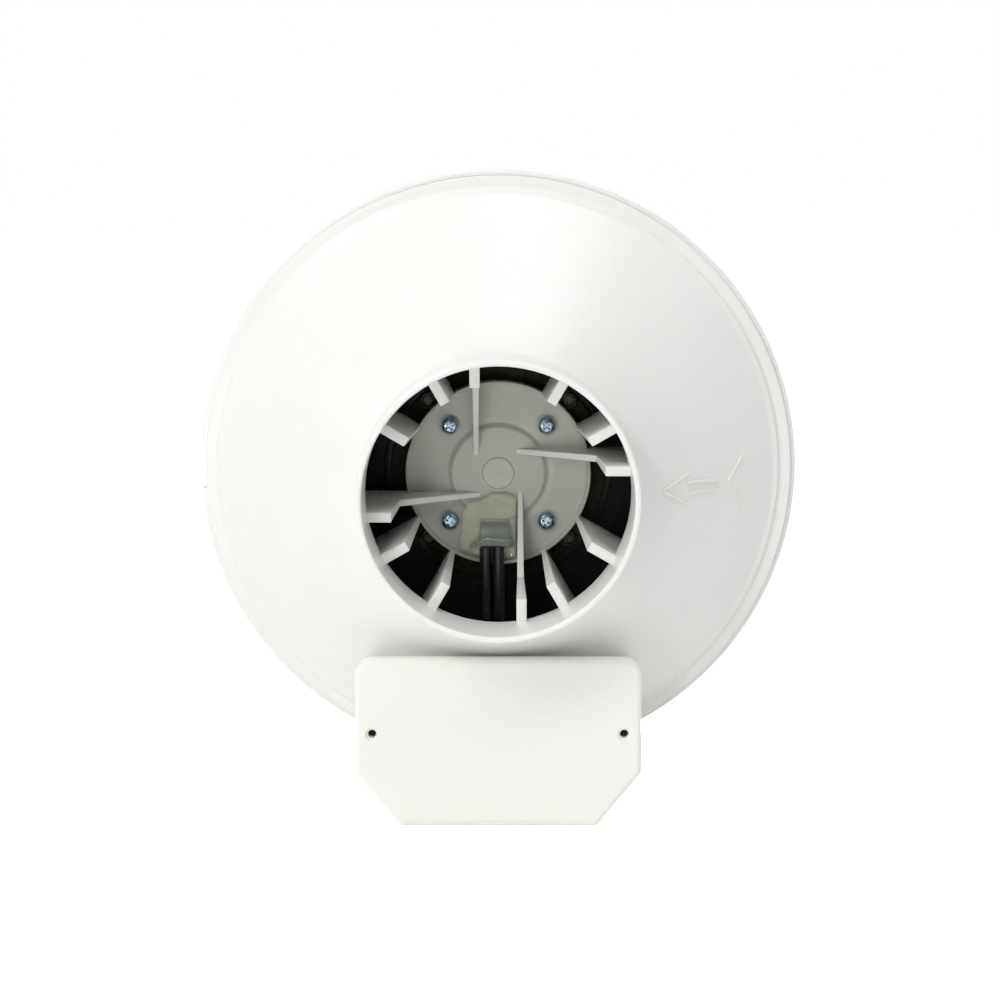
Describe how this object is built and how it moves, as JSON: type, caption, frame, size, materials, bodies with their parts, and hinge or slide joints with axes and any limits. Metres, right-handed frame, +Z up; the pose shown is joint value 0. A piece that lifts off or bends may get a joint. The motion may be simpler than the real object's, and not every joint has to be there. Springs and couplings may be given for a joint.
{
  "type": "inline duct fan",
  "caption": "Round plastic inline duct fan: two flanged cone halves with duct collars, guide vanes, a motorised centrifugal impeller and a terminal box underneath.",
  "frame": {"origin": "on the duct axis, in the plane where the two halves of the housing meet", "axes": "-Y along the duct axis out of the outlet collar, +Y out of the inlet collar, +Z up, away from the terminal box, +X to the right seen from the outlet"},
  "size_m": [0.2297, 0.15, 0.241],
  "materials": {
    "black_plastic": "black glass-filled plastic",
    "black_rubber": "dark sheathing",
    "box_plastic": "off-white moulded plastic",
    "bright_steel": "ground bearing steel",
    "capacitor_plastic": "pale grey capacitor case",
    "copper_winding": "enamelled copper wire",
    "core_steel": "laminated electrical steel",
    "grey_rubber": "grey rubber",
    "motor_aluminium": "die-cast aluminium",
    "resin": "translucent yellow-green potting resin",
    "rotor_steel": "dark olive-brown plated steel",
    "sleeve_plastic": "grey-green sleeve",
    "terminal_plastic": "cream terminal plastic",
    "white_plastic": "white glossy moulded plastic",
    "zinc_screw": "bluish zinc-plated steel"
  },
  "bodies": {
    "housing": {"outlet_housing": "white_plastic", "inlet_housing": "white_plastic", "housing_seal": "grey_rubber", "inlet_ring": "white_plastic", "motor_flange": "motor_aluminium", "front_bearing_outer_race": "bright_steel", "rear_bearing_outer_race": "bright_steel", "preload_washer": "bright_steel", "stator_core": "core_steel", "stator_windings": "copper_winding", "motor_screw_1": "zinc_screw", "motor_screw_2": "zinc_screw", "motor_screw_3": "zinc_screw", "motor_screw_4": "zinc_screw", "cable_sleeve": "sleeve_plastic", "resin_seal": "resin", "supply_lead": "black_rubber", "capacitor_lead": "black_rubber", "cable_grommet": "grey_rubber", "terminal_box": "box_plastic", "box_gasket": "grey_rubber", "terminal_box_cover": "box_plastic", "cover_screw_left": "zinc_screw", "cover_screw_right": "zinc_screw", "cable_entry_plug": "grey_rubber", "motor_capacitor": "capacitor_plastic", "capacitor_clip": "bright_steel", "terminal_block": "terminal_plastic"},
    "rotor": {"impeller_backplate": "black_plastic", "impeller_shroud": "black_plastic", "impeller_rivet_1": "rotor_steel", "impeller_rivet_2": "rotor_steel", "impeller_rivet_3": "rotor_steel", "impeller_rivet_4": "rotor_steel", "rotor_can": "rotor_steel", "rotor_cage": "motor_aluminium", "rotor_shaft": "bright_steel", "shaft_clip": "bright_steel", "front_bearing_inner_race": "bright_steel", "rear_bearing_inner_race": "bright_steel"},
    "front_balls": {"front_bearing_balls": "bright_steel"},
    "rear_balls": {"rear_bearing_balls": "bright_steel"}
  },
  "joints": [
    {"name": "rotor_spin", "type": "hinge", "parent": "housing", "child": "rotor", "pos_m": [0, 0, 0], "axis": [0, -1, 0], "continuous": true},
    {"name": "front_balls_roll", "type": "hinge", "parent": "housing", "child": "front_balls", "pos_m": [0, 0.001, 0], "axis": [0, -1, 0], "continuous": true},
    {"name": "rear_balls_roll", "type": "hinge", "parent": "housing", "child": "rear_balls", "pos_m": [0, 0.0165, 0], "axis": [0, -1, 0], "continuous": true}
  ],
  "couplings": [
    {"joint": "front_balls_roll", "follows": "rotor_spin", "ratio": 0.39},
    {"joint": "rear_balls_roll", "follows": "rotor_spin", "ratio": 0.39}
  ]
}
